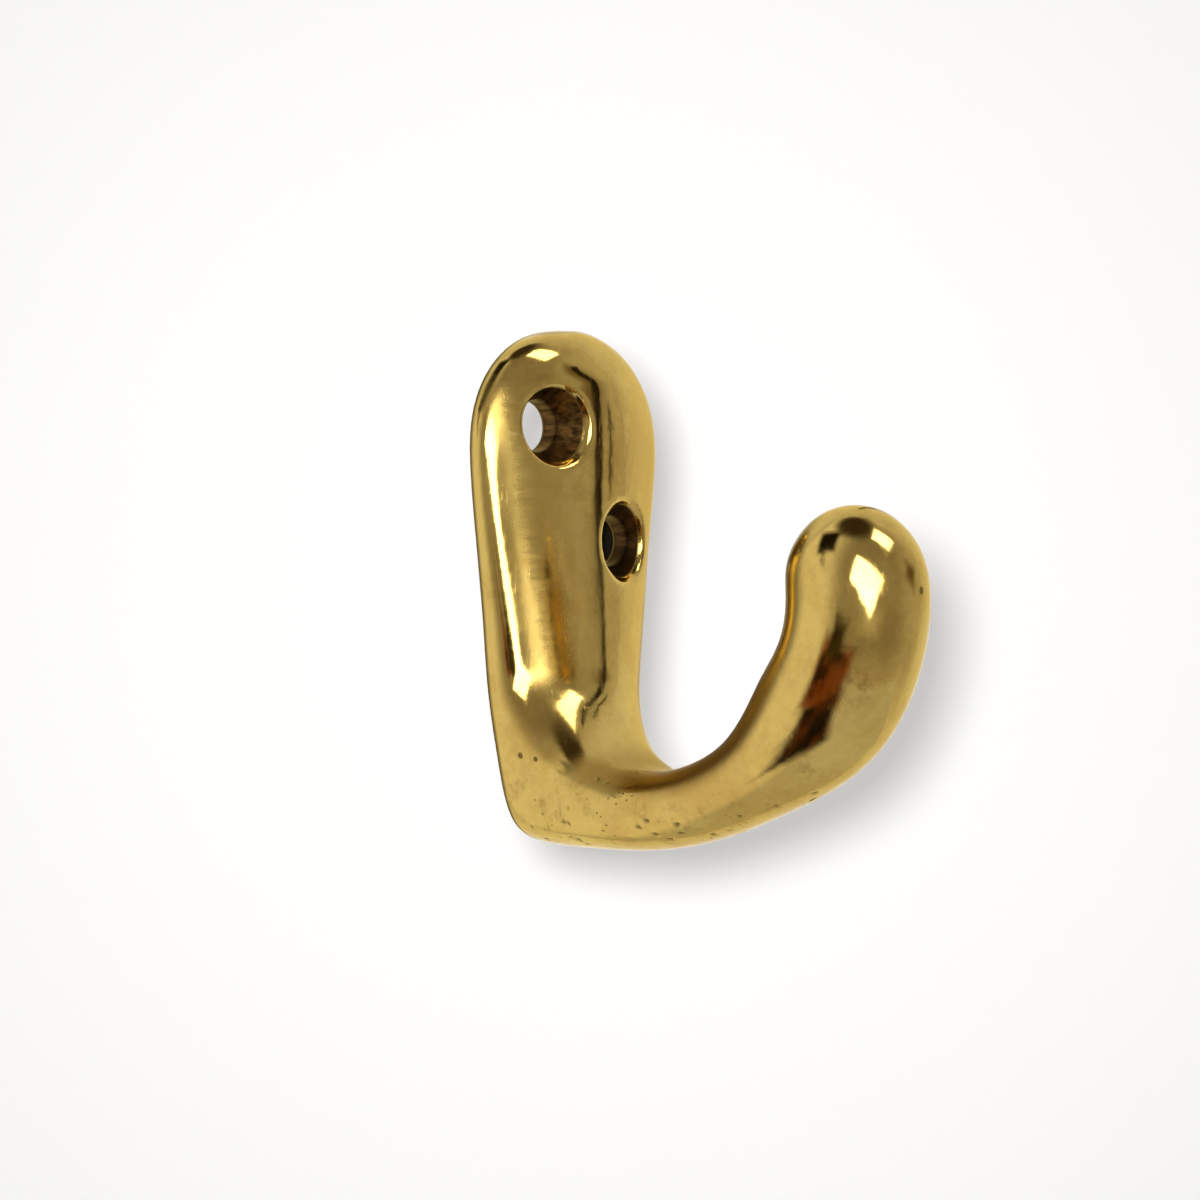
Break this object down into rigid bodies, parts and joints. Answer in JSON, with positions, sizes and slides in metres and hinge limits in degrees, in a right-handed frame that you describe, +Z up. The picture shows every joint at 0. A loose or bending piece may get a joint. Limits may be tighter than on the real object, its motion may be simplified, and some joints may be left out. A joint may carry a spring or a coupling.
{
  "type": "hat and coat hook",
  "caption": "Cast coat hook: a domed, tapering back plate with countersunk screw holes on a diagonal, its foot swept out and up into an arm with a rounded club end.",
  "frame": {"origin": "on the wall plane, midway between the screw holes", "axes": "+Z up the wall, +Y into the wall, so that the arm stands out towards -Y; +X to the right seen from the front"},
  "size_m": [0.0212, 0.0369, 0.0435],
  "materials": {
    "brass": "hand-polished casting, lightly tarnished"
  },
  "bodies": {
    "root": {"hook": "brass"}
  },
  "joints": []
}
